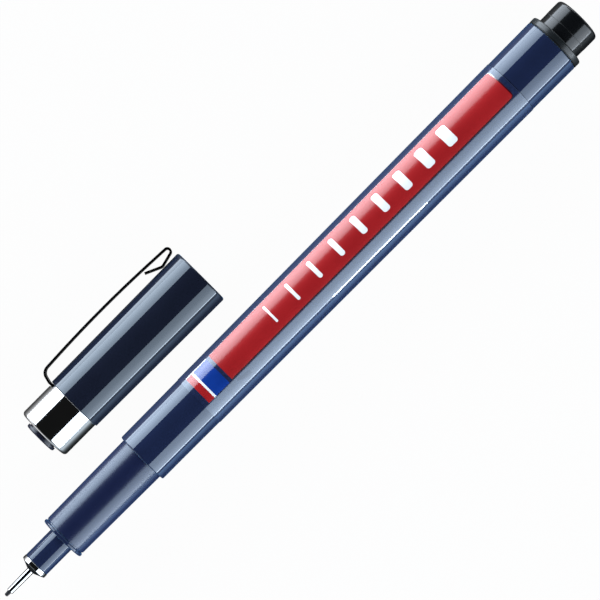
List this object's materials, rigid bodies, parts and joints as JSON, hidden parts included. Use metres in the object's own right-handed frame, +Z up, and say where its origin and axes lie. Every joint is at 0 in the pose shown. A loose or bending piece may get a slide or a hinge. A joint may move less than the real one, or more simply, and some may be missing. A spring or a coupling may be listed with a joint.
{
  "type": "fineliner pen",
  "caption": "Slim round fineliner pen with a fibre nib in a steel tube, satin grip, labelled barrel and rear post, with its pull-off cap and sprung pocket clip lying beside it.",
  "frame": {"origin": "middle of the footprint of the pen and its cap, on the surface that they lie on", "axes": "+X along the pen from its nib to its rear post, +Y from the pen to its cap, +Z up from the surface"},
  "size_m": [0.1346, 0.0276, 0.0108],
  "materials": {
    "nib_fibre": "matte black fibre, soaked in ink",
    "bright_steel": "polished steel",
    "plated_metal": "bright plating",
    "barrel_plastic": "glossy dark blue",
    "grip_plastic": "satin dark blue",
    "cap_plastic": "glossy blue, nearly black",
    "plug_plastic": "glossy black",
    "label_clear": "clear glossy film over dark blue",
    "label_red": "glossy red print",
    "label_blue": "glossy striped print",
    "ink_fibre": "fibre soaked in ink",
    "wrap_film": "thin milky film",
    "inner_plastic": "natural moulded plastic"
  },
  "bodies": {
    "pen": {"nib": "nib_fibre", "nib_tube": "bright_steel", "nib_collar": "plated_metal", "front_section": "barrel_plastic", "grip_sleeve": "grip_plastic", "barrel": "barrel_plastic", "label_film": "label_clear", "label_panel": "label_red", "label_block": "label_blue", "feed_wick": "ink_fibre", "ink_reservoir": "ink_fibre", "reservoir_wrap": "wrap_film", "end_plug": "plug_plastic"},
    "cap": {"cap_body": "cap_plastic", "cap_collar": "plated_metal", "cap_end_plug": "plug_plastic", "inner_cap": "inner_plastic"},
    "clip": {"clip": "plated_metal"}
  },
  "joints": [
    {"name": "cap_pull", "type": "slide", "parent": "pen", "child": "cap", "axis": [-1, 0, 0], "range_m": [0, 0.062]},
    {"name": "clip_spring", "type": "hinge", "parent": "cap", "child": "clip", "pos_m": [-0.03726, 0.00995, 0.00539], "axis": [0, 0, 1], "range_deg": [0, 6], "stiffness_Nm_per_rad": 0.6}
  ]
}
